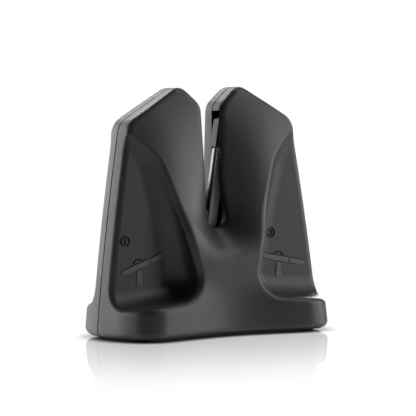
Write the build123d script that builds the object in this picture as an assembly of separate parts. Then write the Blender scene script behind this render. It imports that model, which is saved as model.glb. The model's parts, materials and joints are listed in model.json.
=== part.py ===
"""Free-standing manual knife sharpener: two moulded half shells round a pair of crossed, sprung arms.

Frame: millimetres, +Z up, X across the two towers, Y front to back (front is -Y).
The origin is on the surface that the feet stand on, under the middle of the object.
The half shells meet on the plane Y = 0, and the rear one is the front one turned half round about Z.
"""
import os
from math import cos, exp, log, pi, radians, sin, sqrt, tan

from build123d import *

# Outline of the towers, seen from the front
base_half_length = 57.5
shoulder_half_length = 43.9
shoulder_z = 98.0
side_bulge = 0.9
peak_x = 15.4
peak_z = 115.2
mouth_z = 105.4
peak_round = 6.5
mouth_round = 7.5
shoulder_round = 9.0

# Knife slot between the towers
slot_half_top = 4.9
slot_half_floor = 3.7
slot_floor_z = 49.2
slot_floor_round = 3.5
slot_relief_x = 6.1
slot_relief_z = 72.0
slot_relief_round = 20.0
slot_relief_corner = 4.8

# Base, scoops and walls
foot_gap = 1.2
ledge_end_z = 14.3
ledge_rise_deg = 4.9
lobe_depth = 31.3
waist_depth = 24.0
lobe_end_inset = 10.5
lobe_corner_round = 13.0
panel_depth = 8.0
flank_foot_x = 13.9
flank_lean_deg = 14.0
flank_bend_z = 81.0
flank_bend_deg = 31.0
flank_bend_round = 25.0
scoop_corner_round = 11.0
scoop_hollow_round = 9.5
edge_round = 3.0
sharp_angle_deg = 8.0
bottom_round = 3.2
seam_depth = 0.35
seam_width = 0.28
wall = 2.4

# Front face of the column and towers, as depths from the seam plane
tower_edge_depth = 8.0
tower_slope_top = 0.104
tower_slope_gain = 0.0175
tower_crown_top = 0.0029
tower_crown_gain = 0.00038
tower_least_depth = 5.0
valley_round = 4.0
bowl_z = 53.0
bowl_slope = 0.4
bowl_soft = 2.5
column_lean = 0.045
lobe_fade_z = 30.0
lip_soft = 2.6
station_step = 7.5
height_step = 6.0
overshoot = 4.0

# Arms: pivot, lean at rest and swing
pivot_x = 4.6
pivot_z = 26.0
arm_lean_deg = 10.0
arm_swing_deg = 10.0
arm_length = 72.0
arm_front = 5.6
arm_plate_thick = 1.6
arm_back = 1.2
arm_outer = 3.0
arm_inner = 1.5
web_inner = -0.9
hub_radius = 5.0
hub_front = 6.2
hub_back = 0.8
guard_lap = 11.5
guard_cover = 2.4
guard_inner = 2.9
guard_wall = 0.6
guard_front = 5.4
guard_tip_round = 1.2
guard_low_round = 0.6
strip_low = 30.5
strip_gap = 0.4
strip_inner = 1.9
strip_back = 1.4
strip_pin_radius = 0.8
strip_pin_inset = 5.0
arm_clear = 0.6
window_depth = 6.4
window_tip_clear = 3.6
window_low_z = 60.0
body_clear = 0.3

# Pivot hardware
pin_radius = 1.5
pin_front = 18.0
pin_back = 6.0
bush_radius = 2.6
running_clear = 0.05
seat_clear = 0.02
washer_radius = 2.8
washer_thick = 1.2
boss_radius = 4.0
slim_boss_radius = 2.9
slim_boss_face = 0.9

# Torsion springs
wire_radius = 0.6
coil_radius = 4.2
coil_turns = 3
coil_pitch = 1.7
spring_arm_leg = 14.0
spring_shell_leg = 9.0
lug_height = 12.0
lug_radius = 1.5
peg_radius = 1.3
peg_gap = 0.1

# Fasteners, base plate and feet
screw_radius = 1.5
screw_head_radius = 2.8
screw_head_height = 1.8
screw_head_depth = 5.0
screw_cross_length = 3.2
screw_cross_width = 0.8
screw_cross_depth = 0.8
screw_tip_depth = 4.6
screw_boss_radius = 4.0
shell_screw_heights = (80.0, 34.0)
shell_screw_inset = 8.5
base_screw_end_inset = 25.5
base_screw_y = 17.0
base_screw_tip_z = 11.5
plate_thick = 2.4
plate_gap = 0.2
plate_inset = 5.4
screw_seat_thick = 1.0
base_screw_head = 1.2
lobe_plan_inset = 17.5
lobe_end_y = 15.0
lobe_plan_round = 8.0
waist_plan_round = 60.0
hollow_low_z = 10.0
hollow_foot_x = 10.0
column_hollow_half = 12.5
foot_end_inset = 15.5
foot_y = 14.0
foot_radius = 6.0
foot_pocket = 1.0
foot_edge_round = 0.6

# Values that follow from the ones above
far = 90.0
end_radius = 1.6 * lobe_depth
lobe_x = base_half_length - lobe_end_inset
shell_bottom_z = foot_gap
tower_top_z = peak_z + overshoot
cavity_depth = panel_depth - wall
flank_slope = tan(radians(flank_lean_deg))
ledge_slope = tan(radians(ledge_rise_deg))
outer_slope = (peak_z - shoulder_z) / (shoulder_half_length - peak_x)
mouth_slope = (peak_z - mouth_z) / (peak_x - slot_half_top)
slot_slope = (slot_half_top - slot_half_floor) / (mouth_z - slot_floor_z)
hinge_front = hub_front + body_clear
coil_start = hinge_front + wire_radius
coil_end = coil_start + coil_turns * coil_pitch
boss_face = coil_end + wire_radius + body_clear
column_wall_y = waist_depth - wall - 1.4
plate_bottom_z = shell_bottom_z + plate_gap
plate_top_z = plate_bottom_z + plate_thick
lobe_plan_x = base_half_length - lobe_plan_inset
base_screw_x = base_half_length - base_screw_end_inset
foot_x = base_half_length - foot_end_inset
guard_low = arm_length - guard_lap
guard_high = arm_length + guard_cover
strip_high = guard_low - strip_gap
window_top_z = pivot_z + (guard_high + window_tip_clear) * cos(radians(arm_lean_deg))


def side_half_length(z):
    """Half the length of the object at a height: a straight lean with a slight bulge."""
    t = z / shoulder_z
    return base_half_length - (base_half_length - shoulder_half_length) * t + 4 * side_bulge * t * (1 - t)


def prism(points, y_near, y_far, radius=0):
    """Outline in the XZ plane, pushed from one depth in front of the seam plane to another."""
    spots = [(x, -y_near, z) for x, z in points]
    radii = radius if isinstance(radius, (list, tuple)) else [radius] * len(points)
    outline = FilletPolyline(*spots, radius=radii, close=True)
    return extrude(make_face(outline.edges()), y_far - y_near, dir=(0, -1, 0))


def rod(x, z, radius, y_near, y_far):
    """Round bar along Y, in front of the seam plane."""
    length = y_far - y_near
    return Pos(x, -(y_near + y_far) / 2, z) * Rot(90, 0, 0) * Cylinder(radius, length)


def half_turn(shape):
    """The same piece turned half round about the upright axis, for the other half of the object."""
    return Rot(0, 0, 180) * shape


# Moulded form of the front half

def ledge_height(x):
    """Height of the ledge under the scoops, which rises from the ends towards the column."""
    return ledge_end_z + (base_half_length - x) * ledge_slope


def lobe_share(z):
    """How much of the lobes' swell is left at a height: all of it in the base, none in the column."""
    t = min(max((z - ledge_end_z) / (lobe_fade_z - ledge_end_z), 0), 1)
    return 1 - t * t * (3 - 2 * t)


def front_depth(x, z):
    """Depth of the front face: the lesser of the twisted tower faces and the column, softly joined."""
    below = bowl_soft * log(1 + exp((bowl_z - z) / bowl_soft))
    side = sqrt(x ** 2 + valley_round ** 2) - valley_round
    out = sqrt(x ** 2 + below ** 2 + valley_round ** 2) - valley_round
    drop = mouth_z - z - below
    slope = tower_slope_top + tower_slope_gain * drop + bowl_slope / (1 + exp((z - bowl_z) / bowl_soft))
    crown = tower_crown_top + tower_crown_gain * drop
    near = min(side, max(flank_foot_x + (z - ledge_height(flank_foot_x)) * flank_slope, flank_foot_x))
    face = tower_edge_depth + slope * out - crown * near * (2 * side - near)
    tower = tower_least_depth + log(1 + exp(face - tower_least_depth))
    swell = (1 - cos(pi * min(abs(x) / lobe_x, 1))) / 2
    lobe = (lobe_depth - waist_depth) * swell * lobe_share(z)
    column = waist_depth - column_lean * (z - ledge_end_z) + lobe
    return -lip_soft * log(exp(-tower / lip_soft) + exp(-column / lip_soft))


def side_profile(x):
    """Closed section of the front half at one station across the object."""
    low, high = -overshoot, tower_top_z
    count = round((high - low) / height_step)
    places = [i / count for i in range(count + 1)]
    spots = [Vector(x, -front_depth(x, low + (high - low) * t), low + (high - low) * t) for t in places]
    face_line = Edge.make_spline(spots, parameters=places)
    back = Polyline(spots[-1], (x, 0, high), (x, 0, low), spots[0])
    return make_face([face_line, *back.edges()])


def front_mass():
    """Column, towers and lobes before the scoops are taken out, as one loft across the stations."""
    reach = base_half_length + overshoot
    count = round(reach / station_step)
    return loft([side_profile(reach * i / count) for i in range(-count, count + 1)])


def end_section(z):
    """Plan of the object at a height, with its gently rounded ends."""
    half = side_half_length(z)
    reach = end_radius * 0.8
    sag = end_radius - sqrt(end_radius ** 2 - reach ** 2)
    right = ThreePointArc((half - sag, -reach, z), (half, 0, z), (half - sag, reach, z))
    left = ThreePointArc((sag - half, reach, z), (-half, 0, z), (sag - half, -reach, z))
    return make_face([right, Line(right @ 1, left @ 0), left, Line(left @ 1, right @ 0)])


def tower_outline():
    """Front outline above the base: slopes, peaks and the knife slot, which is wider at the right arm."""
    slope_end_z = shoulder_z - outer_slope * (far - shoulder_half_length)
    upper = [(slot_half_top, mouth_z), (peak_x, peak_z), (far, slope_end_z), (far, -overshoot)]
    upper_radii = [mouth_round, peak_round, 0, 0]
    relief_x = slot_half_floor + (slot_relief_z - slot_floor_z) * slot_slope
    left = [(-x, z) for x, z in reversed(upper)] + [(-slot_half_floor, slot_floor_z)]
    right = [(slot_relief_x, slot_floor_z), (relief_x, slot_relief_z)] + upper
    left_radii = upper_radii[::-1] + [slot_floor_round]
    return prism(left + right, 0, far, left_radii + [slot_relief_corner, slot_relief_round] + upper_radii)


def scoop(side):
    """Cutter for the hollow beside the column: flat panel, hollow flank and ledge."""
    foot_z = ledge_height(flank_foot_x)
    bend_x = flank_foot_x + (flank_bend_z - foot_z) * flank_slope
    top_x = bend_x + (tower_top_z - flank_bend_z) * tan(radians(flank_bend_deg))
    points = [(flank_foot_x, foot_z), (bend_x, flank_bend_z), (top_x, tower_top_z), (far, tower_top_z),
              (far, ledge_height(far))]
    block = prism([(side * x, z) for x, z in points], panel_depth, far,
                  [scoop_corner_round, flank_bend_round, 0, 0, 0])
    on_panel = [e for e in block.edges() if e.bounding_box().min.Y > -panel_depth - seat_clear]
    hollow = [e for e in on_panel if abs(e.center().X) < far - 1 and e.center().Z < tower_top_z - 1]
    return fillet(ShapeList(hollow), scoop_hollow_round)


def sharp_edges(solid):
    """Edges where two faces of the front half meet at an angle, off the seam plane and the underside."""
    sides = {}
    for face in solid.faces():
        for edge in face.edges():
            sides.setdefault(edge, []).append(face)
    found = ShapeList()
    for edge, faces in sides.items():
        middle = edge @ 0.5
        if len(faces) == 2 and middle.Y < -1 and middle.Z > shell_bottom_z + 1:
            if faces[0].normal_at(middle).get_angle(faces[1].normal_at(middle)) > sharp_angle_deg:
                found.append(edge)
    return found


def moulded_half():
    """Outer form of the front half, with all its rounding, still solid inside."""
    ends = loft([end_section(z) for z in (-overshoot, shoulder_z / 2, tower_top_z)])
    form = front_mass() & ends & tower_outline()
    form -= Pos(0, 0, shell_bottom_z - far / 2) * Box(2 * far, 2 * far, far)
    for side in (1, -1):
        form -= scoop(side)
    shoulders = [e for e in form.edges() if e.bounding_box().min.Z > shoulder_z - overshoot
                 and abs(e.center().X) > shoulder_half_length - 1 and abs(e.tangent_at(0.5).Y) > 0.9]
    form = fillet(ShapeList(shoulders), shoulder_round)
    corners = [e for e in form.edges() if e.bounding_box().max.Z < ledge_height(flank_foot_x)
               and abs(e.tangent_at(0.5).Z) > 0.9 and e.center().Y < -panel_depth]
    form = fillet(ShapeList(corners), lobe_corner_round)
    form = fillet(sharp_edges(form), edge_round)
    under = [e for e in form.edges() if e.bounding_box().max.Z < shell_bottom_z + seat_clear
             and e.center().Y < -1]
    return fillet(ShapeList(under), bottom_round)


# Inside of the shells

def base_plan(inset, z, height):
    """Front half of the dog-bone plan of the base, drawn in from the outer form and pushed up."""
    end = base_half_length - inset
    lobe = lobe_depth - inset
    spots = [(-end, 0), (-end, -lobe_end_y), (-lobe_plan_x, -lobe), (0, inset - waist_depth),
             (lobe_plan_x, -lobe), (end, -lobe_end_y), (end, 0)]
    radii = [0, lobe_plan_round, lobe_plan_round, waist_plan_round, lobe_plan_round, lobe_plan_round, 0]
    outline = FilletPolyline(*[(x, y, z) for x, y in spots], radius=radii, close=True)
    return extrude(make_face(outline.edges()), height, dir=(0, 0, 1))


def tower_hollow(side):
    """Room inside one tower and the panel below it."""
    base_x = side_half_length(hollow_low_z) - plate_inset
    top_drop = wall * 1.6
    points = [(hollow_foot_x, hollow_low_z), (base_x, hollow_low_z),
              (shoulder_half_length - wall - 1, shoulder_z - wall), (peak_x, peak_z - top_drop),
              (slot_half_top + wall, mouth_z - top_drop), (slot_half_floor + wall, slot_floor_z + wall * 2),
              (hollow_foot_x, slot_floor_z - wall * 3)]
    return prism([(side * x, z) for x, z in points], 0, cavity_depth)


def column_hollow():
    """Room inside the column for the pivots and springs, with a roof that falls towards the front."""
    roof_z = slot_floor_z - wall * 2
    low_z = plate_top_z + wall
    spots = [(0, 0, low_z), (0, 0, roof_z), (0, -cavity_depth * 2, roof_z - wall),
             (0, -column_wall_y, roof_z - wall * 5), (0, -column_wall_y, low_z)]
    section = make_face(Polyline(*spots, close=True).edges())
    return extrude(section, column_hollow_half, dir=(1, 0, 0), both=True)


def on_arm(up, inward, lean=arm_lean_deg):
    """Point of the right arm: distance up from its pivot, and inward from its middle line."""
    a = radians(lean)
    return -pivot_x + up * sin(a) - inward * cos(a), pivot_z + up * cos(a) + inward * sin(a)


def arm_window():
    """Room that the right arm sweeps: the slit in the slot's floor and the window in the tower wall."""
    opened = arm_lean_deg + arm_swing_deg
    outer = -arm_outer - guard_wall - arm_clear
    points = [on_arm(hub_radius, guard_inner + arm_clear), (0, window_low_z), (0, window_top_z),
              (on_arm(guard_high, outer)[0], window_top_z),
              on_arm(guard_high + arm_clear, outer, opened), on_arm(hub_radius * 2, outer, opened)]
    return prism(points, 0, window_depth)


def shell_screw_spots():
    """Places of the screws that join the shells, a set distance in from the leaning sides."""
    spots = [(side_half_length(z) - shell_screw_inset, z) for z in shell_screw_heights]
    return spots + [(-x, z) for x, z in spots]


def seam_groove():
    """Shallow step round the parting face, so that the joint of the shells shows as a thin line."""
    side_heights = [shoulder_z * share for share in (0.75, 0.5, 0.25, 0)]
    right = [(slot_half_floor + seam_depth, slot_floor_z - seam_depth),
             (slot_half_top + seam_depth, mouth_z - seam_depth), (peak_x, peak_z - 1.2 * seam_depth),
             (shoulder_half_length - seam_depth, shoulder_z - 0.6 * seam_depth)]
    right += [(side_half_length(z) - seam_depth, z) for z in side_heights]
    radii = [slot_floor_round, mouth_round, peak_round, shoulder_round] + [0] * len(side_heights)
    core = prism([(-x, z) for x, z in reversed(right)] + right, 0, seam_width, list(reversed(radii)) + radii)
    return Pos(0, -seam_width / 2, far / 2) * Box(2 * far, seam_width, 2 * far) - core


def shell_half():
    """One half shell without its screw holes: hollow, with its bosses and pegs."""
    form = moulded_half()
    form -= seam_groove()
    hollow = column_hollow() + tower_hollow(1) + tower_hollow(-1)
    hollow += base_plan(plate_inset, shell_bottom_z - 1, ledge_end_z - wall - shell_bottom_z + 1)
    shell = form - hollow - arm_window()
    spring_peg = on_arm(-spring_shell_leg * 0.7, wire_radius + peg_radius + peg_gap - coil_radius)
    stop_peg = on_arm(lug_height, arm_inner + peg_radius + body_clear)
    inside = [rod(-pivot_x, pivot_z, boss_radius, boss_face, column_wall_y),
              rod(pivot_x, pivot_z, slim_boss_radius, slim_boss_face, column_wall_y),
              rod(*spring_peg, peg_radius, coil_end - 2 * wire_radius, column_wall_y),
              rod(*stop_peg, peg_radius, arm_front - arm_plate_thick, column_wall_y)]
    for x, z in shell_screw_spots():
        inside.append(rod(x, z, screw_boss_radius, 0, cavity_depth))
    for side in (1, -1):
        boss_height = ledge_end_z - wall - plate_top_z
        inside.append(Pos(side * base_screw_x, -base_screw_y, plate_top_z + boss_height / 2)
                      * Cylinder(screw_boss_radius, boss_height))
    for piece in inside:
        shell += piece
    shell -= rod(-pivot_x, pivot_z, pin_radius + seat_clear, boss_face, pin_front + body_clear)
    shell -= rod(pivot_x, pivot_z, pin_radius + seat_clear, slim_boss_face, pin_back + body_clear)
    for side in (1, -1):
        depth = base_screw_tip_z + body_clear - plate_top_z
        shell -= (Pos(side * base_screw_x, -base_screw_y, plate_top_z + depth / 2)
                  * Cylinder(screw_radius + seat_clear, depth))
    return shell


def front_and_rear_shells():
    """Both shells: the front one takes the screws' threads, the rear one their heads."""
    half = shell_half()
    front = half
    rear = half_turn(half)
    for x, z in shell_screw_spots():
        front -= rod(x, z, screw_radius + seat_clear, 0, screw_tip_depth + body_clear)
        rear -= rod(x, z, screw_radius + body_clear, -far, 0)
        rear -= rod(x, z, screw_head_radius + body_clear, -far, -screw_head_depth)
    return front, rear


# Arms and their pivots

def right_arm():
    """Carrier of the right arm: hub, flat blade, L-shaped web for the strip and a lug for the spring."""
    plate_back = arm_front - arm_plate_thick
    blade = prism([on_arm(0, arm_inner), on_arm(guard_low, arm_inner), on_arm(guard_low, -arm_outer),
                   on_arm(0, -arm_outer)], plate_back, arm_front)
    web = prism([on_arm(0, web_inner), on_arm(arm_length, web_inner), on_arm(arm_length, -arm_outer),
                 on_arm(0, -arm_outer)], arm_back, plate_back)
    lug_spot = on_arm(lug_height, lug_radius + wire_radius + body_clear - coil_radius)
    carrier = blade + web + rod(-pivot_x, pivot_z, hub_radius, hub_back, hub_front)
    carrier += rod(*lug_spot, lug_radius, plate_back, coil_start + 2 * wire_radius)
    carrier -= rod(-pivot_x, pivot_z, bush_radius + seat_clear, hub_back, hub_front)
    for pin in strip_pin_bars(seat_clear):
        carrier -= pin
    return carrier


def strip_pin_bars(clear=0.0):
    """Two cross pins that hold the strip to the arm's web."""
    middle_y = (strip_back + arm_front - arm_plate_thick) / 2
    tip = (web_inner + strip_inner) / 2
    bars = []
    for up in (strip_low + strip_pin_inset, strip_high - strip_pin_inset):
        x0, z0 = on_arm(up, -arm_outer)
        x1, z1 = on_arm(up, tip + clear)
        start = Vector(x0, -middle_y, z0)
        along = Vector(x1, -middle_y, z1) - start
        disc = Plane(origin=start, z_dir=along) * Circle(strip_pin_radius + clear)
        bars.append(extrude(disc, along.length, dir=along.normalized()))
    return bars


def right_strip():
    """Hardened strip that the knife edge is drawn along."""
    points = [on_arm(strip_low, strip_inner), on_arm(strip_high, strip_inner), on_arm(strip_high, web_inner),
              on_arm(strip_low, web_inner)]
    strip = prism(points, strip_back, arm_front - arm_plate_thick)
    for pin in strip_pin_bars(seat_clear):
        strip -= pin
    return strip


def right_tip_guard():
    """Plastic cap pushed over the end of the web, standing proud of the strip to lead the knife in."""
    outer = -arm_outer - guard_wall
    points = [on_arm(guard_low, guard_inner), on_arm(guard_high, guard_inner), on_arm(guard_high, outer),
              on_arm(guard_low, outer)]
    rounds = [guard_low_round, guard_tip_round, guard_tip_round, 0]
    cap = prism(points, arm_back - guard_wall, guard_front, rounds)
    web_end = [on_arm(guard_low - 1, web_inner), on_arm(arm_length, web_inner), on_arm(arm_length, -arm_outer),
               on_arm(guard_low - 1, -arm_outer)]
    return cap - prism(web_end, arm_back, arm_front - arm_plate_thick)


def right_bush():
    """Bearing sleeve pressed into the arm's hub."""
    sleeve = rod(-pivot_x, pivot_z, bush_radius, hub_back, hub_front)
    return sleeve - rod(-pivot_x, pivot_z, pin_radius + running_clear, hub_back, hub_front)


def right_washer():
    """Thrust washer between the arm's hub and the rear shell's boss."""
    disc = rod(-pivot_x, pivot_z, washer_radius, -slim_boss_face, washer_thick - slim_boss_face)
    return disc - rod(-pivot_x, pivot_z, pin_radius + running_clear, -slim_boss_face, washer_thick)


def biarc(start, start_way, end, end_way):
    """Two tangent arcs from one point to another that leave and arrive along the given ways."""
    chord = end - start
    ways = start_way + end_way
    spread = 2 * (1 - start_way.dot(end_way))
    reach = (sqrt(chord.dot(ways) ** 2 + spread * chord.dot(chord)) - chord.dot(ways)) / spread
    meet = (start + start_way * reach + end - end_way * reach) * 0.5
    first = TangentArc(start, meet, tangent=start_way)
    return [first, TangentArc(meet, end, tangent=first % 1)]


def right_spring():
    """Torsion spring round the pivot pin: one leg behind the arm's lug, the other on the shell's peg."""
    a = radians(arm_lean_deg)
    up = Vector(sin(a), 0, cos(a))
    outward = Vector(cos(a), 0, -sin(a))
    middle = Vector(-pivot_x, 0, pivot_z)
    rise = coil_pitch / (2 * pi)

    def coil_spot(turn):
        return (middle + outward * (coil_radius * cos(turn)) - up * (coil_radius * sin(turn))
                + Vector(0, -coil_start - rise * turn, 0))

    def coil_way(turn):
        way = outward * (-coil_radius * sin(turn)) - up * (coil_radius * cos(turn)) + Vector(0, -rise, 0)
        return way.normalized()

    steps = coil_turns * 4
    turns = [2 * pi * coil_turns * i / steps for i in range(steps + 1)]
    spots = [coil_spot(t) for t in turns]
    ways = [up * -1] + [coil_way(t) for t in turns[1:-1]] + [up * -1]
    pieces = [Line(spots[0] + up * spring_arm_leg, spots[0])]
    for i in range(steps):
        pieces += biarc(spots[i], ways[i], spots[i + 1], ways[i + 1])
    pieces.append(Line(spots[-1], spots[-1] - up * spring_shell_leg))
    path = Wire([edge for piece in pieces for edge in piece.edges()])
    disc = Plane(origin=path @ 0, z_dir=path % 0) * Circle(wire_radius)
    return sweep(disc, path=path)


# Base plate, feet and screws

def base_plate():
    """Plate that closes the underside, with pockets for the feet and seats for its screws."""
    half = base_plan(plate_inset + plate_gap, plate_bottom_z, plate_thick)
    plate = half + half_turn(half)
    for x, y in four_spots(foot_x, foot_y):
        pocket = Cylinder(foot_radius + running_clear, foot_pocket)
        plate -= Pos(x, y, plate_bottom_z + foot_pocket / 2) * pocket
    for x, y in four_spots(base_screw_x, base_screw_y):
        hole = Cylinder(screw_radius + body_clear, plate_thick)
        plate -= Pos(x, y, plate_bottom_z + plate_thick / 2) * hole
        seat = plate_thick - screw_seat_thick
        plate -= Pos(x, y, plate_bottom_z + seat / 2) * Cylinder(screw_head_radius + body_clear, seat)
    return plate


def four_spots(x, y):
    """The four corners of a rectangle round the middle of the object."""
    return [(-x, -y), (x, -y), (-x, y), (x, y)]


def foot(x, y):
    """Round rubber foot set in its pocket."""
    height = plate_bottom_z + foot_pocket
    pad = Pos(x, y, height / 2) * Cylinder(foot_radius, height)
    return fillet(pad.edges().group_by(Axis.Z)[0], foot_edge_round)


def cross_recess():
    """Cutter for the driver's cross in a screw head, lying on XY round the origin."""
    bar = Box(screw_cross_length, screw_cross_width, 2 * screw_cross_depth)
    return bar + Rot(0, 0, 90) * bar


def shell_screws():
    """Screws that draw the shells together, entered from the rear."""
    screws = []
    head_face = screw_head_depth + screw_head_height
    for x, z in shell_screw_spots():
        screw = rod(x, z, screw_head_radius, -head_face, -screw_head_depth)
        screw += rod(x, z, screw_radius, -screw_head_depth, screw_tip_depth)
        screws.append(screw - Pos(x, head_face, z) * Rot(90, 0, 0) * cross_recess())
    return Compound(children=screws)


def base_screws():
    """Screws that hold the base plate up against the shells' bosses."""
    screws = []
    head_top_z = plate_top_z - screw_seat_thick
    for x, y in four_spots(base_screw_x, base_screw_y):
        screw = Pos(x, y, head_top_z - base_screw_head / 2) * Cylinder(screw_head_radius, base_screw_head)
        shank_length = base_screw_tip_z - head_top_z
        screw += Pos(x, y, head_top_z + shank_length / 2) * Cylinder(screw_radius, shank_length)
        screws.append(screw - Pos(x, y, head_top_z - base_screw_head) * cross_recess())
    return Compound(children=screws)


front_shell, rear_shell = front_and_rear_shells()
right_side = {
    "arm": right_arm(),
    "strip": right_strip(),
    "tip_guard": right_tip_guard(),
    "strip_pins": Compound(children=strip_pin_bars()),
    "bush": right_bush(),
    "pivot_pin": rod(-pivot_x, pivot_z, pin_radius, -pin_back, pin_front),
    "washer": right_washer(),
    "spring": right_spring(),
}
nodes = {"front_shell": front_shell, "rear_shell": rear_shell, "base_plate": base_plate()}
for name, piece in right_side.items():
    nodes["right_" + name] = piece
    nodes["left_" + name] = half_turn(piece)
for name, (x, y) in zip(("front_left", "front_right", "rear_left", "rear_right"), four_spots(foot_x, foot_y)):
    nodes[name + "_foot"] = foot(x, y)
nodes["shell_screws"] = shell_screws()
nodes["base_screws"] = base_screws()

os.makedirs("parts", exist_ok=True)
for name, piece in nodes.items():
    export_step(piece, f"parts/{name}.step")
print("least gap between the spring's turns", round(coil_pitch - 2 * wire_radius, 2), "mm")
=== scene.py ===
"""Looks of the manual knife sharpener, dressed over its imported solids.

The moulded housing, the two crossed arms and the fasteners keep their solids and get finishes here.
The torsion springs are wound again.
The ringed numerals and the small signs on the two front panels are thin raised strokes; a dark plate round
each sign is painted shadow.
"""

import json
import logging
import math
from dataclasses import dataclass, field
from enum import Enum

import bmesh
import bpy
from mathutils import Matrix, Vector


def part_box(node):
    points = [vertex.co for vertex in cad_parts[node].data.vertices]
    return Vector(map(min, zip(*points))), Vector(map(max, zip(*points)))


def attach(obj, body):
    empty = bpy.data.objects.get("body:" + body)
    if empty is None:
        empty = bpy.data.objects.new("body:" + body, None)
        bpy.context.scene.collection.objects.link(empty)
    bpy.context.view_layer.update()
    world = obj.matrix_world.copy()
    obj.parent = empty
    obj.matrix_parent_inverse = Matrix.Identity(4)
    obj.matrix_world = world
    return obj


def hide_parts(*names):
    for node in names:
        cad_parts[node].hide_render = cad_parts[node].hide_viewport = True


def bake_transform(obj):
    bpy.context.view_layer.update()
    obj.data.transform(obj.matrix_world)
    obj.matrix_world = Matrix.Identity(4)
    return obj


LOG = logging.getLogger("knife_sharpener")
MM = 0.001
NOISE_LOW = 0.3
NOISE_HIGH = 0.7
WELD_DISTANCE = 1e-4
WHITE = (1, 1, 1, 1)
TOP_BOX_SIZE = (0.4, 0.4)

Colour = tuple[float, float, float]
Spot = tuple[float, float]

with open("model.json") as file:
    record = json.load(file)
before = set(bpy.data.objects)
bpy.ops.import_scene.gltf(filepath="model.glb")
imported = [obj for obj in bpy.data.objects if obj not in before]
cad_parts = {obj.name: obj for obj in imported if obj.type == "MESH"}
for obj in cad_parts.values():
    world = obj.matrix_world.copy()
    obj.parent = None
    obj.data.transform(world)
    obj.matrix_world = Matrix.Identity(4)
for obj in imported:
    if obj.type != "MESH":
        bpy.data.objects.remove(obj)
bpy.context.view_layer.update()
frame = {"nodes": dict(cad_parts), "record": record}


class Side(Enum):
    """The two halves of the sharpener, seen from the front."""

    LEFT = -1
    RIGHT = 1


class MarkLayer(Enum):
    """The two finishes of a raised mark: its body, and the dark finish of the strokes and of the painted
    shadow round the sign's plates.
    """

    BODY = 0
    EDGING = 1


class NodeTools:
    """Short ways to add, join and compare the nodes of one node tree."""

    def __init__(self, tree: bpy.types.NodeTree) -> None:
        """Keeps the tree that is worked on."""
        self.tree = tree

    def add(self, kind: str, **settings: object) -> bpy.types.Node:
        """Adds a node.

        Args:
            kind: the node's type name.
            settings: values of the node's own properties.

        Returns:
            The new node.
        """
        node = self.tree.nodes.new(kind)
        for key, value in settings.items():
            setattr(node, key, value)
        return node

    def join(self, source: bpy.types.NodeSocket, target: bpy.types.NodeSocket) -> None:
        """Links one socket to another."""
        self.tree.links.new(source, target)

    def ray_kinds(self, *kinds: str) -> list[bpy.types.NodeSocket]:
        """Tells which kind of ray asks for the shader.

        Args:
            kinds: names of the kinds, as the light path node has them.

        Returns:
            A socket for each kind, 1 for a ray of that kind.
        """
        rays = self.add("ShaderNodeLightPath")
        return [rays.outputs[f"Is {kind} Ray"] for kind in kinds]

    def largest(self, sockets: list[bpy.types.NodeSocket]) -> bpy.types.NodeSocket:
        """Gives the largest of several values.

        Args:
            sockets: the values.

        Returns:
            The socket with the largest of them.
        """
        best = sockets[0]
        for socket in sockets[1:]:
            step = self.add("ShaderNodeMath", operation="MAXIMUM")
            self.join(best, step.inputs[0])
            self.join(socket, step.inputs[1])
            best = step.outputs[0]
        return best

    def mixed(self, share: bpy.types.NodeSocket, first: bpy.types.NodeSocket,
              second: bpy.types.NodeSocket) -> bpy.types.NodeSocket:
        """Mixes two shaders.

        Args:
            share: how much of the second shows.
            first: the shader at a share of 0.
            second: the shader at a share of 1.

        Returns:
            The mixed shader's socket.
        """
        node = self.add("ShaderNodeMixShader")
        self.join(share, node.inputs["Fac"])
        self.join(first, node.inputs[1])
        self.join(second, node.inputs[2])
        return node.outputs[0]


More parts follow.
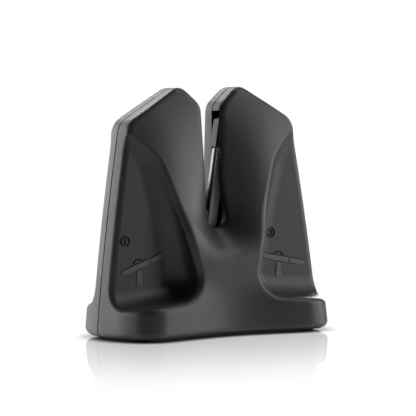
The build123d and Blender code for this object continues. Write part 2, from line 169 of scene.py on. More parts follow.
class NodeBench(NodeTools):
    """A material's node tree with its shader, and the patterns that a finish is made of."""

    def __init__(self, name: str) -> None:
        """Starts a material with a principled shader and object coordinates.

        Args:
            name: the material's name.
        """
        self.material = bpy.data.materials.new(name)
        self.material.use_nodes = True
        super().__init__(self.material.node_tree)
        self.shader = self.tree.nodes["Principled BSDF"]
        self.place = self.add("ShaderNodeTexCoord").outputs["Object"]

    def stretched(self, scale: tuple[float, float, float]) -> bpy.types.NodeSocket:
        """Gives object coordinates that are scaled along each axis.

        Args:
            scale: factor along X, Y and Z.

        Returns:
            The socket with the scaled coordinates.
        """
        mapping = self.add("ShaderNodeMapping")
        mapping.inputs["Scale"].default_value = scale
        self.join(self.place, mapping.inputs["Vector"])
        return mapping.outputs["Vector"]

    def noise(self, scale: float, detail: float, rough: float = 0.55,
              place: bpy.types.NodeSocket | None = None) -> bpy.types.NodeSocket:
        """Adds a noise pattern.

        Args:
            scale: cells per metre.
            detail: octaves of the noise.
            rough: weight of the finer octaves.
            place: coordinates, or the plain object coordinates if left out.

        Returns:
            The noise value's socket.
        """
        node = self.add("ShaderNodeTexNoise")
        node.inputs["Scale"].default_value = scale
        node.inputs["Detail"].default_value = detail
        node.inputs["Roughness"].default_value = rough
        self.join(place or self.place, node.inputs["Vector"])
        return node.outputs["Fac"]

    def roughen(self, source: bpy.types.NodeSocket, low: float, high: float) -> None:
        """Spreads a noise value over a range of roughness.

        Args:
            source: a noise value from about 0.3 to 0.7.
            low: roughness at the low end.
            high: roughness at the high end.
        """
        node = self.add("ShaderNodeMapRange")
        node.inputs["From Min"].default_value = NOISE_LOW
        node.inputs["From Max"].default_value = NOISE_HIGH
        node.inputs["To Min"].default_value = low
        node.inputs["To Max"].default_value = high
        self.join(source, node.inputs["Value"])
        self.join(node.outputs["Result"], self.shader.inputs["Roughness"])

    def tint(self, source: bpy.types.NodeSocket, colour: Colour, spread: float) -> None:
        """Lets the base colour vary a little round a colour.

        Args:
            source: a noise value from about 0.3 to 0.7.
            colour: the middle colour, linear.
            spread: share by which it goes down and up.
        """
        node = self.add("ShaderNodeValToRGB")
        first, last = node.color_ramp.elements
        first.position = NOISE_LOW
        last.position = NOISE_HIGH
        first.color = (*(channel * (1 - spread) for channel in colour), 1)
        last.color = (*(channel * (1 + spread) for channel in colour), 1)
        self.join(source, node.inputs["Fac"])
        self.join(node.outputs["Color"], self.shader.inputs["Base Color"])

    def relief(self, source: bpy.types.NodeSocket, depth: float, strength: float) -> None:
        """Turns a pattern into a fine relief of the surface.

        Args:
            source: the pattern's height.
            depth: height of the relief in metres.
            strength: how much of it shows.
        """
        node = self.add("ShaderNodeBump")
        node.inputs["Distance"].default_value = depth
        node.inputs["Strength"].default_value = strength
        self.join(source, node.inputs["Height"])
        self.join(node.outputs["Normal"], self.shader.inputs["Normal"])

    def within(self, half_width: float) -> bpy.types.NodeSocket:
        """Marks the band on both sides of the parting plane at Y = 0.

        Args:
            half_width: how far the band reaches from the plane, in metres.

        Returns:
            A socket that is 1 inside the band and 0 outside.
        """
        split = self.add("ShaderNodeSeparateXYZ")
        self.join(self.place, split.inputs["Vector"])
        depth = self.add("ShaderNodeMath", operation="ABSOLUTE")
        self.join(split.outputs["Y"], depth.inputs[0])
        inside = self.add("ShaderNodeMath", operation="LESS_THAN")
        inside.inputs[1].default_value = half_width
        self.join(depth.outputs[0], inside.inputs[0])
        return inside.outputs[0]

    def repaint(self, band: bpy.types.NodeSocket, colour: Colour, rough: float) -> None:
        """Gives a band another colour and roughness over what the shader has so far.

        Args:
            band: 1 where the other values hold.
            colour: the band's colour, linear.
            rough: the band's roughness.
        """
        tone = self.add("ShaderNodeMix", data_type="RGBA")
        self.join(band, tone.inputs["Factor"])
        self.join(self.shader.inputs["Base Color"].links[0].from_socket, tone.inputs["A"])
        tone.inputs["B"].default_value = (*colour, 1)
        self.join(tone.outputs["Result"], self.shader.inputs["Base Color"])
        gloss = self.add("ShaderNodeMix")
        self.join(band, gloss.inputs["Factor"])
        self.join(self.shader.inputs["Roughness"].links[0].from_socket, gloss.inputs["A"])
        gloss.inputs["B"].default_value = rough
        self.join(gloss.outputs["Result"], self.shader.inputs["Roughness"])

    def dull(self, band: bpy.types.NodeSocket) -> None:
        """Takes the reflection away inside a band, so that the painted shade there stays dark at a grazing
        look too.

        Args:
            band: 1 where nothing is reflected.
        """
        level = self.shader.inputs["Specular IOR Level"]
        fade = self.add("ShaderNodeMix")
        self.join(band, fade.inputs["Factor"])
        fade.inputs["A"].default_value = level.default_value
        fade.inputs["B"].default_value = 0.0
        self.join(fade.outputs["Result"], level)


@dataclass(frozen=True)
class MouldedPlastic:
    """Moulded plastic with the fine grain of an eroded mould, and on a shell painted shade along its parting
    groove.
    """

    name: str
    colour: Colour
    roughness: float
    grain_per_metre: float = 2600.0
    grain_octaves: float = 2.0
    grain_depth: float = 0.00006
    grain_strength: float = 0.35
    tone_spread: float = 0.16
    cloud_per_metre: float = 45.0
    cloud_octaves: float = 4.0
    gloss_spread: float = 0.025
    specular: float = 0.5
    seam_shade_half_width: float = 0.0
    seam_shade_colour: Colour = (0.003, 0.003, 0.003)
    seam_shade_roughness: float = 0.95

    def make(self) -> bpy.types.Material:
        """Builds the material.

        Returns:
            The finished material.
        """
        bench = NodeBench(self.name)
        grain = bench.noise(self.grain_per_metre, self.grain_octaves)
        cloud = bench.noise(self.cloud_per_metre, self.cloud_octaves)
        bench.tint(grain, self.colour, self.tone_spread)
        bench.roughen(cloud, self.roughness - self.gloss_spread, self.roughness + self.gloss_spread)
        bench.shader.inputs["Specular IOR Level"].default_value = self.specular
        # painted shade: a near-black band without reflection along the shell's parting groove, where shade
        # falls
        if self.seam_shade_half_width:
            groove_shade = bench.within(self.seam_shade_half_width)
            bench.repaint(groove_shade, self.seam_shade_colour, self.seam_shade_roughness)
            bench.dull(groove_shade)
        bench.relief(grain, self.grain_depth, self.grain_strength)
        return bench.material


@dataclass(frozen=True)
class Rubber:
    """Soft dull rubber with a fine powdery surface."""

    name: str
    colour: Colour
    powder_per_metre: float = 1800.0
    powder_octaves: float = 4.0
    powder_fineness: float = 0.7
    powder_depth: float = 0.00008
    powder_strength: float = 0.4
    tone_spread: float = 0.3
    least_roughness: float = 0.75
    most_roughness: float = 0.92
    specular: float = 0.3

    def make(self) -> bpy.types.Material:
        """Builds the material.

        Returns:
            The finished material.
        """
        bench = NodeBench(self.name)
        powder = bench.noise(self.powder_per_metre, self.powder_octaves, self.powder_fineness)
        bench.tint(powder, self.colour, self.tone_spread)
        bench.roughen(powder, self.least_roughness, self.most_roughness)
        bench.relief(powder, self.powder_depth, self.powder_strength)
        bench.shader.inputs["Specular IOR Level"].default_value = self.specular
        return bench.material


@dataclass(frozen=True)
class WorkedMetal:
    """Metal with the marks of grinding, turning or drawing, and on a strip a painted highlight: a bright
    band near the parting plane.
    """

    name: str
    colour: Colour
    roughness: float
    marks: tuple[float, float, float] = (900.0, 900.0, 900.0)
    mark_octaves: float = 3.0
    mark_fineness: float = 0.6
    mark_depth: float = 0.00003
    mark_strength: float = 0.3
    stain_per_metre: float = 160.0
    stain_octaves: float = 3.0
    tone_spread: float = 0.08
    gloss_below: float = 0.08
    gloss_above: float = 0.1
    highlight_half_width: float = 0.0
    highlight_colour: Colour = (0.5, 0.5, 0.49)
    highlight_roughness: float = 0.5

    def make(self) -> bpy.types.Material:
        """Builds the material.

        Returns:
            The finished material.
        """
        bench = NodeBench(self.name)
        lines = bench.noise(1.0, self.mark_octaves, self.mark_fineness, bench.stretched(self.marks))
        stain = bench.noise(self.stain_per_metre, self.stain_octaves)
        bench.tint(stain, self.colour, self.tone_spread)
        bench.roughen(lines, self.roughness - self.gloss_below, self.roughness + self.gloss_above)
        # painted highlight: a bright band within a few millimetres of the parting plane stands for the light
        # on the strip's inner face
        if self.highlight_half_width:
            strip_highlight = bench.within(self.highlight_half_width)
            bench.repaint(strip_highlight, self.highlight_colour, self.highlight_roughness)
        bench.relief(lines, self.mark_depth, self.mark_strength)
        bench.shader.inputs["Metallic"].default_value = 1.0
        return bench.material


# the shells carry painted shade along their parting groove
HOUSING_PLASTIC = MouldedPlastic("housing_plastic", (0.02, 0.02, 0.0206), 0.46, grain_strength=0.22,
                                 seam_shade_half_width=0.0004)
PLATE_PLASTIC = MouldedPlastic("plate_plastic", (0.02, 0.02, 0.021), 0.55, grain_strength=0.5)
ARM_PLASTIC = MouldedPlastic("arm_plastic", (0.13, 0.131, 0.133), 0.5)
GUARD_PLASTIC = MouldedPlastic("guard_plastic", (0.034, 0.035, 0.036), 0.48)
MARK_PLASTIC = MouldedPlastic("mark_plastic", (0.068, 0.068, 0.069), 0.42, grain_strength=0.1)
# dark finish of the ring, numeral and bow strokes, and of the painted shadow round the sign's plates
MARK_DARK_AND_SHADOW = MouldedPlastic("mark_inlay", (0.005, 0.005, 0.005), 0.5, grain_strength=0.1, specular=0.08)
FOOT_RUBBER = Rubber("foot_rubber", (0.011, 0.011, 0.011))
# the strips' bright band is a painted highlight
STRIP_STEEL = WorkedMetal("strip_steel", (0.03, 0.03, 0.031), 0.5, (300.0, 3000.0, 300.0),
                          highlight_half_width=0.003)
PIN_STEEL = WorkedMetal("pin_steel", (0.52, 0.52, 0.53), 0.28, (700.0, 5000.0, 700.0))
BUSH_BRONZE = WorkedMetal("bush_bronze", (0.5, 0.34, 0.17), 0.38, (700.0, 4000.0, 700.0))
WASHER_STEEL = WorkedMetal("washer_steel", (0.47, 0.47, 0.48), 0.35)
SPRING_STEEL = WorkedMetal("spring_steel", (0.4, 0.4, 0.41), 0.3, (1500.0, 1500.0, 1500.0))
SCREW_STEEL = WorkedMetal("screw_steel", (0.07, 0.07, 0.075), 0.4, (1200.0, 1200.0, 1200.0))


def dress(node: str, material: bpy.types.Material) -> None:
    """Gives a solid of the frame its finish and reports it.

    Args:
        node: the solid's name in the frame.
        material: its finish.
    """
    mesh = frame["nodes"][node].data
    mesh.materials.clear()
    mesh.materials.append(material)
    LOG.info("%s wears %s", node, material.name)


def as_piece(name: str, shape: bmesh.types.BMesh,
             materials: list[bpy.types.Material]) -> bpy.types.Object:
    """Makes a piece at the origin from a finished shape, which is freed.

    Args:
        name: the piece's name.
        shape: its faces, in metres and in their place.
        materials: its finishes, in the order of the faces' indices.

    Returns:
        The piece.
    """
    mesh = bpy.data.meshes.new(name)
    shape.to_mesh(mesh)
    shape.free()
    for material in materials:
        mesh.materials.append(material)
    piece = bpy.data.objects.new(name, mesh)
    bpy.context.scene.collection.objects.link(piece)
    return piece


@dataclass
class Housing:
    """The two moulded shells, the plate under them, the feet and the screws."""

    shells: tuple[str, ...] = ("front_shell", "rear_shell")
    plate: str = "base_plate"
    feet: tuple[str, ...] = ("front_left_foot", "front_right_foot", "rear_left_foot", "rear_right_foot")
    screws: tuple[str, ...] = ("shell_screws", "base_screws")

    def finish(self) -> None:
        """Dresses every solid of the housing."""
        plastic = HOUSING_PLASTIC.make()
        for shell in self.shells:
            dress(shell, plastic)
        dress(self.plate, PLATE_PLASTIC.make())
        rubber = FOOT_RUBBER.make()
        for foot in self.feet:
            dress(foot, rubber)
        steel = SCREW_STEEL.make()
        for screws in self.screws:
            dress(screws, steel)


@dataclass
class SwingArms:
    """The two crossed arms in the slot, each with its strip, cap, pins, sleeve and washer."""

    finishes: dict[str, MouldedPlastic | WorkedMetal] = field(default_factory=lambda: {
        "arm": ARM_PLASTIC,
        "tip_guard": GUARD_PLASTIC,
        "strip": STRIP_STEEL,
        "strip_pins": PIN_STEEL,
        "bush": BUSH_BRONZE,
        "pivot_pin": PIN_STEEL,
        "washer": WASHER_STEEL,
    })

    def finish(self) -> None:
        """Dresses every solid of both arms."""
        for piece, look in self.finishes.items():
            material = look.make()
            for side in Side:
                dress(f"{side.name.lower()}_{piece}", material)


@dataclass
class TorsionSpring:
    """The wound spring of one arm, in millimetres.

    Its upper leg goes with the arm, and its lower leg stays with the housing.
    """

    side: Side
    wire_radius: float = 0.6
    wire_sides: int = 12
    coil_radius: float = 4.2
    coil_turns: int = 3
    coil_pitch: float = 1.7
    steps_per_turn: int = 32
    arm_leg: float = 14.0
    shell_leg: float = 9.0
    arm_lean: float = 10.0

    @staticmethod
    def _drop(shape: bmesh.types.BMesh, ring: list[bmesh.types.BMEdge],
              depth: float) -> list[bmesh.types.BMEdge]:
        """Draws a ring of the wire straight down.

        Args:
            shape: the spring so far.
            ring: the edges round the wire's end.
            depth: how far they are drawn.

        Returns:
            The edges round the new end.
        """
        drawn = bmesh.ops.extrude_edge_only(shape, edges=ring)["geom"]
        ends = {item for item in drawn if isinstance(item, bmesh.types.BMVert)}
        bmesh.ops.translate(shape, vec=(0, 0, -depth), verts=list(ends))
        edges = [item for item in drawn if isinstance(item, bmesh.types.BMEdge)]
        return [edge for edge in edges if ends.issuperset(edge.verts)]

    def _wind(self, arm_end: float) -> bmesh.types.BMesh:
        """Winds the wire: upper leg, turns and lower leg, round the Y axis.

        Args:
            arm_end: Y of the upper leg.

        Returns:
            The spring before its lean, in millimetres.
        """
        shape = bmesh.new()
        disc = bmesh.ops.create_circle(shape, cap_ends=True, segments=self.wire_sides,
                                       radius=self.wire_radius)
        start = (self.coil_radius, arm_end, self.arm_leg)
        bmesh.ops.translate(shape, vec=start, verts=disc["verts"])
        ring = self._drop(shape, list(shape.edges), self.arm_leg)
        corners = list({vert for edge in ring for vert in edge.verts})
        spun = bmesh.ops.spin(shape, geom=ring + corners, cent=(0, 0, 0), axis=(0, 1, 0),
                              angle=math.tau * self.coil_turns,
                              dvec=(0, -self.coil_pitch / self.steps_per_turn, 0),
                              steps=self.coil_turns * self.steps_per_turn, use_merge=False)
        last = [item for item in spun["geom_last"] if isinstance(item, bmesh.types.BMEdge)]
        bmesh.ops.contextual_create(shape, geom=self._drop(shape, last, self.shell_leg))
        bmesh.ops.recalc_face_normals(shape, faces=shape.faces)
        for face in shape.faces:
            face.smooth = len(face.verts) == 4
        return shape

    def build(self) -> bpy.types.Object:
        """Makes the spring in place of its solid.

        Returns:
            The piece.
        """
        name = self.side.name.lower()
        low, high = (Vector(corner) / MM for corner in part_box(f"{name}_spring"))
        hinge = next(joint for joint in frame["record"]["behaviour"]["joints"]
                     if joint["name"] == f"{name}_arm_swing")
        pivot = Vector(hinge["pos_m"]) / MM
        arm_end = (high.y if self.side is Side.RIGHT else -low.y) - self.wire_radius
        facing = Matrix.Rotation(math.pi if self.side is Side.LEFT else 0, 4, "Z")
        lean = Matrix.Rotation(math.radians(self.arm_lean), 4, "Y")
        place = Matrix.Translation((pivot.x, 0, pivot.z)) @ facing @ lean
        shape = self._wind(arm_end)
        bmesh.ops.transform(shape, matrix=Matrix.Scale(MM, 4) @ place, verts=shape.verts)
        piece = as_piece(f"{name}_wound_spring", shape, [SPRING_STEEL.make()])
        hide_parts(f"{name}_spring")
        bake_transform(piece)
        LOG.info("%s winds up with its arm", piece.name)
        return piece


@dataclass
class PanelMarks:
    """A ringed numeral and a small sign of a knife over a post on one front panel, in millimetres."""

    side: Side
    numeral: str
    ring_at: Spot
    sign_at: Spot
    knife_tilt: float
    panel_y: float = -8.0
    relief: float = 0.35
    sunk: float = 0.1
    edge_round: float = 0.1
    edge_segments: int = 2
    # painted shadow round the sign's plates: its width, upward shift and height
    edging_width: float = 0.6
    edging_shift: float = 0.4
    edging_relief: float = 0.06
    ring_radius: float = 2.1
    ring_width: float = 0.45
    ring_step: float = 6.0
    arc_radius: float = 2.6
    arc_span: float = 120.0
    arc_rise: float = 0.6
    numeral_height: float = 2.5
    numeral_share: float = 0.7
    numeral_swell: float = 0.05
    sign_gap: float = 0.5
    blade_length: float = 15.2
    blade_height: float = 2.4
    blade_left_share: float = 0.63
    tip_drop: float = 0.2
    belly_length: float = 3.0
    spine_set: float = 0.8
    handle_length: float = 8.0
    handle_height: float = 2.1
    butt_slant: float = 0.8
    butt_swell: float = 1.2
    butt_low: float = 0.6
    butt_high: float = 0.7
    butt_cut: float = 0.6
    post_height: float = 6.8
    post_width: float = 3.4
    post_top_share: float = 0.55

    @property
    def thickness(self) -> float:
        """Height of a mark with the part of it that is sunk in the panel."""
        return self.relief + self.sunk

    @staticmethod
    def _paint(shape: bmesh.types.BMesh, layer: MarkLayer) -> None:
        """Gives all faces of a mark the finish of its layer."""
        for face in shape.faces:
            face.material_index = layer.value

    def _stand(self, shape: bmesh.types.BMesh, centre: Spot, turn: float = 0.0) -> None:
        """Turns a flat mark upright and sets it on the panel.

        Args:
            shape: the mark, lying on XY with its height along Z.
            centre: X and Z of its middle on the panel.
            turn: anticlockwise turn in degrees, seen from the front.
        """
        place = Matrix.Translation((centre[0], self.panel_y + self.sunk, centre[1]))
        upright = Matrix.Rotation(math.radians(90), 4, "X")
        spin = Matrix.Rotation(math.radians(turn), 4, "Z")
        bmesh.ops.transform(shape, matrix=place @ upright @ spin, verts=shape.verts)

    def _plate(self, outline: list[Spot], turn: float, layer: MarkLayer) -> bmesh.types.BMesh:
        """Makes one raised plate of the sign, or the painted shadow round it: a dark, larger plate shifted
        upwards.

        Args:
            outline: corners round the sign's middle, anticlockwise.
            turn: anticlockwise turn of the plate in degrees.
            layer: which of the two is made.

        Returns:
            The plate in its place.
        """
        shape = bmesh.new()
        ground = [shape.faces.new([shape.verts.new((x, y, 0)) for x, y in outline])]
        height = self.thickness
        # painted shadow: a dark outset plate, shifted upwards, stands for the shade along the engraved top
        # edge of the sign
        if layer is MarkLayer.EDGING:
            ring = bmesh.ops.inset_region(shape, faces=ground, thickness=self.edging_width,
                                          use_outset=True, use_boundary=True, use_even_offset=True)
            ground += ring["faces"]
            bmesh.ops.translate(shape, vec=(0, self.edging_shift, 0), verts=shape.verts)
            height = self.sunk + self.edging_relief
        raised = bmesh.ops.extrude_face_region(shape, geom=ground)["geom"]
        tops = [item for item in raised if isinstance(item, bmesh.types.BMVert)]
        bmesh.ops.translate(shape, vec=(0, 0, height), verts=tops)
        if layer is MarkLayer.BODY:
            rim = [edge for edge in shape.edges if all(vert in tops for vert in edge.verts)]
            bmesh.ops.bevel(shape, geom=rim, offset=self.edge_round, offset_type="OFFSET",
                            segments=self.edge_segments, profile=0.5, affect="EDGES", material=-1)
        bmesh.ops.recalc_face_normals(shape, faces=shape.faces)
        self._paint(shape, layer)
        self._stand(shape, self.sign_at, turn)
        return shape

    def _round_stroke(self, radius: float, degrees: float) -> bmesh.types.BMesh:
        """Makes a raised round stroke by spinning its section.

        Args:
            radius: radius of the stroke's middle line.
            degrees: how far it goes round, starting at the right.

        Returns:
            The stroke round the origin, lying on XY.
        """
        shape = bmesh.new()
        inner = radius - self.ring_width / 2
        outer = radius + self.ring_width / 2
        corners = [(inner, 0), (outer, 0), (outer, self.thickness), (inner, self.thickness)]
        section = shape.faces.new([shape.verts.new((x, 0, z)) for x, z in corners])
        closed = degrees >= 360
        spun = [*section.verts, *section.edges] + ([] if closed else [section])
        if closed:
            bmesh.ops.delete(shape, geom=[section], context="FACES_ONLY")
        bmesh.ops.spin(shape, geom=spun, axis=(0, 0, 1), cent=(0, 0, 0), angle=math.radians(degrees),
                       steps=round(degrees / self.ring_step), use_merge=closed)
        bmesh.ops.remove_doubles(shape, verts=shape.verts, dist=WELD_DISTANCE)
        bmesh.ops.recalc_face_normals(shape, faces=shape.faces)
        self._paint(shape, MarkLayer.EDGING)
        return shape

    def _ring(self) -> bmesh.types.BMesh:
        """Makes the ring round the numeral.

        Returns:
            The ring in its place.
        """
        shape = self._round_stroke(self.ring_radius, 360)
        self._stand(shape, self.ring_at)
        return shape

    def _arc(self) -> bmesh.types.BMesh:
        """Makes the small bow above the blade that shows how it is drawn through.

        Returns:
            The bow in its place.
        """
        shape = self._round_stroke(self.arc_radius, self.arc_span)
        centred = Matrix.Rotation(math.radians((180 - self.arc_span) / 2), 4, "Z")
        raised = Matrix.Translation((0, self.arc_rise, 0))
        bmesh.ops.transform(shape, matrix=raised @ centred, verts=shape.verts)
        self._stand(shape, self.sign_at, self.knife_tilt)
        return shape

    def _digit(self) -> bmesh.types.BMesh:
        """Makes the numeral from the plain built-in letter form.

        Returns:
            The numeral in its place.
        """
        curve = bpy.data.curves.new("numeral_curve", "FONT")
        curve.body = self.numeral
        curve.size = self.numeral_height / self.numeral_share
        curve.extrude = self.thickness / 2
        curve.offset = self.numeral_swell
        carrier = bpy.data.objects.new("numeral_carrier", curve)
        bpy.context.scene.collection.objects.link(carrier)
        flat = carrier.evaluated_get(bpy.context.evaluated_depsgraph_get()).to_mesh()
        shape = bmesh.new()
        shape.from_mesh(flat)
        bpy.data.objects.remove(carrier)
        bpy.data.curves.remove(curve)
        bmesh.ops.remove_doubles(shape, verts=shape.verts, dist=WELD_DISTANCE)
        across = [vert.co.x for vert in shape.verts]
        along = [vert.co.y for vert in shape.verts]
        middle = Vector((min(across) + max(across), min(along) + max(along), -self.thickness)) / 2
        bmesh.ops.translate(shape, vec=-middle, verts=shape.verts)
        self._paint(shape, MarkLayer.EDGING)
        self._stand(shape, self.ring_at)
        return shape

    def _sign(self) -> list[bmesh.types.BMesh]:
        """Makes the sign: a blade, its handle and the post that it is drawn across.

        Returns:
            The plates in their places.
        """
        half = self.blade_height / 2
        start = -self.blade_length * self.blade_left_share
        end = start + self.blade_length
        blade = [(start, -half * self.tip_drop), (start + self.belly_length, -half), (end, -half),
                 (end, half), (start + self.spine_set, half)]
        grip = self.handle_height / 2
        root = end + self.sign_gap
        butt = root + self.handle_length
        handle = [(root, -grip), (butt - self.butt_slant, -grip * self.butt_swell),
                  (butt, -grip * self.butt_low), (butt, grip * self.butt_high),
                  (butt - self.butt_cut, grip), (root, grip)]
        top = -half - self.sign_gap
        low = top - self.post_height
        wide = self.post_width / 2
        narrow = wide * self.post_top_share
        post = [(-wide, low), (wide, low), (narrow, top), (-narrow, top)]
        plates = []
        for outline, turn in ((blade, self.knife_tilt), (handle, self.knife_tilt), (post, 0.0)):
            for layer in MarkLayer:
                plates.append(self._plate(outline, turn, layer))
        return plates

    def build(self) -> bpy.types.Object:
        """Joins the marks of this panel into one piece that rides on the housing.

        Returns:
            The piece.
        """
        whole = bmesh.new()
        for part in [self._ring(), self._digit(), self._arc(), *self._sign()]:
            step = bpy.data.meshes.new("stroke")
            part.to_mesh(step)
            part.free()
            whole.from_mesh(step)
            bpy.data.meshes.remove(step)
        bmesh.ops.scale(whole, vec=(MM, MM, MM), verts=whole.verts)
        materials = [look.make() for look in (MARK_PLASTIC, MARK_DARK_AND_SHADOW)]
        piece = as_piece(f"{self.side.name.lower()}_panel_marks", whole, materials)
        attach(piece, "housing")
        LOG.info("%s stands on the panel with %d faces", piece.name, len(piece.data.polygons))
        return piece


@dataclass(frozen=True)
class SoftBox:
    """A rectangular lamp that is turned to the object."""

    name: str
    place: tuple[float, float, float]
    power: float
    size: Spot = (0.35, 0.6)
    aim_height: float = 0.06

    def hang(self) -> None:
        """Makes the lamp and puts it in its place."""
        lamp = bpy.data.lights.new(self.name, "AREA")
        lamp.shape = "RECTANGLE"
        lamp.size, lamp.size_y = self.size
        lamp.energy = self.power
        holder = bpy.data.objects.new(self.name, lamp)
        bpy.context.scene.collection.objects.link(holder)
        aim = Vector((0, 0, self.aim_height)) - Vector(self.place)
        turn = aim.to_track_quat("-Z", "Y").to_matrix().to_4x4()
        holder.matrix_world = Matrix.Translation(self.place) @ turn


@dataclass
class Studio:
    """The pale floor, the white surroundings, the soft lamps and the camera of the picture, in metres."""

    floor_size: float = 0.9
    floor_paint: float = 0.82
    footprint: Spot = (0.05, 0.02)
    contact_shade_reach: float = 0.006
    contact_shade_power: float = 1.5
    mirror_share: float = 0.45
    mirror_reach: float = 0.19
    ambient: float = 0.02
    behind_from: float = 0.45
    behind_full: float = 0.95
    camera_turn: float = 29.6
    camera_rise: float = 2.5
    camera_roll: float = -1.08
    camera_distance: float = 1.1188
    camera_nearest: float = 0.01
    sensor_width: float = 36.0
    focus_in_pixels: float = 2416.9
    frame_in_pixels: float = 416.0
    aim_right: float = 0.00149
    aim_up: float = 0.05784
    lamps: tuple[SoftBox, ...] = (
        SoftBox("left_box", (-0.95, 0.55, 0.3), 6.4),
        SoftBox("rear_left_box", (-0.38, 1.03, 0.3), 2.8),
        SoftBox("rear_top_box", (0.0, 0.75, 0.85), 5.2, TOP_BOX_SIZE),
        SoftBox("right_front_box", (0.78, -0.78, 0.3), 3.5),
        SoftBox("right_box", (1.06, -0.28, 0.3), 4.65),
        SoftBox("right_rear_box", (0.78, 0.78, 0.3), 6.3),
        SoftBox("front_top_box", (0.48, -0.58, 0.85), 2.4, TOP_BOX_SIZE),
        SoftBox("top_box", (0.35, -0.1, 1.05), 1.3, TOP_BOX_SIZE),
    )

    @staticmethod
    def _sky(tools: NodeTools, strength: float) -> bpy.types.NodeSocket:
        """Adds a white background.

        Args:
            tools: the world's node tree.
            strength: how bright it is.

        Returns:
            The background's socket.
        """
        node = tools.add("ShaderNodeBackground")
        node.inputs["Color"].default_value = WHITE
        node.inputs["Strength"].default_value = strength
        return node.outputs[0]

    def surroundings(self) -> None:
        """Makes the world: white where it is seen, in the floor's mirror and behind the object, else dim."""
        world = bpy.data.worlds.new("studio_world")
        world.use_nodes = True
        tools = NodeTools(world.node_tree)
        tools.tree.nodes.clear()
        place = tools.add("ShaderNodeTexCoord")
        split = tools.add("ShaderNodeSeparateXYZ")
        tools.join(place.outputs["Generated"], split.inputs["Vector"])
        behind = tools.add("ShaderNodeMapRange", interpolation_type="SMOOTHSTEP")
        behind.inputs["From Min"].default_value = self.behind_from
        behind.inputs["From Max"].default_value = self.behind_full
        tools.join(split.outputs["Y"], behind.inputs["Value"])
        glossy, *plain = tools.ray_kinds("Glossy", "Camera", "Transmission", "Singular")
        mirrored = tools.add("ShaderNodeMath", operation="MULTIPLY")
        tools.join(glossy, mirrored.inputs[0])
        tools.join(behind.outputs["Result"], mirrored.inputs[1])
        shown = tools.largest([*plain, mirrored.outputs[0]])
        sky = tools.mixed(shown, self._sky(tools, self.ambient), self._sky(tools, 1.0))
        out = tools.add("ShaderNodeOutputWorld")
        tools.join(sky, out.inputs["Surface"])
        bpy.context.scene.world = world

    def _nearness(self, tools: NodeTools) -> bpy.types.NodeSocket:
        """Tells how much the floor mirrors: most beside the object, nothing further out.

        Args:
            tools: the floor's node tree.

        Returns:
            A socket with the share of the mirror.
        """
        place = tools.add("ShaderNodeTexCoord")
        reach = tools.add("ShaderNodeVectorMath", operation="ABSOLUTE")
        tools.join(place.outputs["Object"], reach.inputs[0])
        past = tools.add("ShaderNodeVectorMath", operation="SUBTRACT")
        past.inputs[1].default_value = (*self.footprint, 0)
        tools.join(reach.outputs[0], past.inputs[0])
        outside = tools.add("ShaderNodeVectorMath", operation="MAXIMUM")
        outside.inputs[1].default_value = (0, 0, 0)
        tools.join(past.outputs[0], outside.inputs[0])
        length = tools.add("ShaderNodeVectorMath", operation="LENGTH")
        tools.join(outside.outputs[0], length.inputs[0])
        fade = tools.add("ShaderNodeMapRange", interpolation_type="SMOOTHSTEP")
        fade.inputs["From Max"].default_value = self.mirror_reach
        fade.inputs["To Min"].default_value = self.mirror_share
        fade.inputs["To Max"].default_value = 0.0
        tools.join(length.outputs["Value"], fade.inputs["Value"])
        return fade.outputs["Result"]

    def _floor_gloss(self) -> bpy.types.Material:
        """Makes the floor's finish: white where it is seen, with painted shade at the contact from an
        occlusion node, and a faint mirror.

        Returns:
            The finished material.
        """
        material = bpy.data.materials.new("floor_gloss")
        material.use_nodes = True
        tools = NodeTools(material.node_tree)
        tools.tree.nodes.clear()
        paint = tools.add("ShaderNodeBsdfDiffuse")
        paint.inputs["Color"].default_value = (self.floor_paint, self.floor_paint, self.floor_paint, 1)
        # painted shade: the white glow that the camera sees is dimmed by occlusion near the object
        shade = tools.add("ShaderNodeAmbientOcclusion")
        shade.inputs["Distance"].default_value = self.contact_shade_reach
        deepen = tools.add("ShaderNodeMath", operation="POWER")
        deepen.inputs[1].default_value = self.contact_shade_power
        tools.join(shade.outputs["AO"], deepen.inputs[0])
        white = tools.add("ShaderNodeEmission")
        tools.join(deepen.outputs[0], white.inputs["Strength"])
        shown = tools.largest(tools.ray_kinds("Camera", "Glossy", "Transmission"))
        lit = tools.mixed(shown, paint.outputs[0], white.outputs[0])
        gloss = tools.add("ShaderNodeBsdfGlossy")
        gloss.inputs["Color"].default_value = WHITE
        gloss.inputs["Roughness"].default_value = 0.0
        out = tools.add("ShaderNodeOutputMaterial")
        tools.join(tools.mixed(self._nearness(tools), lit, gloss.outputs[0]), out.inputs["Surface"])
        return material

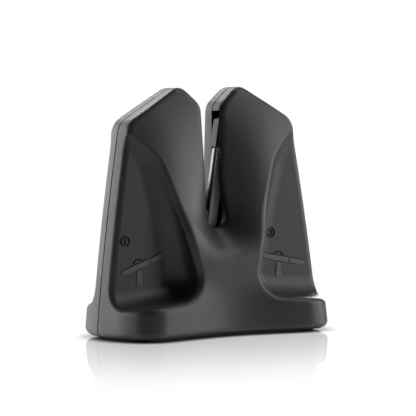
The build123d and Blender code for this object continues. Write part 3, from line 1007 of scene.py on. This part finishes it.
    def floor(self) -> bpy.types.Object:
        """Makes the white floor, which mirrors the object faintly and shows painted contact shade under it.

        Returns:
            The floor.
        """
        sheet = bmesh.new()
        bmesh.ops.create_grid(sheet, x_segments=1, y_segments=1, size=self.floor_size / 2)
        floor = as_piece("floor", sheet, [self._floor_gloss()])
        return floor

    def camera(self) -> None:
        """Sets the camera at the angle, distance and focus measured for the picture."""
        turn = math.radians(self.camera_turn)
        rise = math.radians(self.camera_rise)
        roll = math.radians(self.camera_roll)
        back = Vector((-math.sin(turn) * math.cos(rise), -math.cos(turn) * math.cos(rise),
                       math.sin(rise)))
        level = Vector((math.cos(turn), -math.sin(turn), 0))
        upright = back.cross(level)
        right = level * math.cos(roll) + upright * math.sin(roll)
        up = upright * math.cos(roll) - level * math.sin(roll)
        stand = level * self.aim_right + Vector((0, 0, self.aim_up)) + back * self.camera_distance
        lens = bpy.data.cameras.new("picture_camera")
        lens.sensor_width = self.sensor_width
        lens.lens = self.focus_in_pixels / self.frame_in_pixels * self.sensor_width
        lens.clip_start = self.camera_nearest
        holder = bpy.data.objects.new("picture_camera", lens)
        bpy.context.scene.collection.objects.link(holder)
        holder.matrix_world = Matrix((
            (right.x, up.x, back.x, stand.x),
            (right.y, up.y, back.y, stand.y),
            (right.z, up.z, back.z, stand.z),
            (0, 0, 0, 1),
        ))
        bpy.context.scene.camera = holder

    def build(self) -> None:
        """Sets up the whole studio."""
        bpy.context.scene.view_settings.view_transform = "Standard"
        self.surroundings()
        self.floor()
        for lamp in self.lamps:
            lamp.hang()
        self.camera()
        LOG.info("studio is set")


def main() -> None:
    """Builds and dresses the sharpener in order, then the studio."""
    logging.basicConfig(level=logging.INFO, format="%(name)s: %(message)s")
    Housing().finish()
    SwingArms().finish()
    for side in Side:
        TorsionSpring(side).build()
    PanelMarks(Side.LEFT, numeral="1", ring_at=(-46.2, 44.8), sign_at=(-39.3, 33.2),
               knife_tilt=20.0).build()
    PanelMarks(Side.RIGHT, numeral="2", ring_at=(30.4, 45.6), sign_at=(34.4, 33.4),
               knife_tilt=-11.0).build()
    Studio().build()


if __name__ == "__main__":
    main()
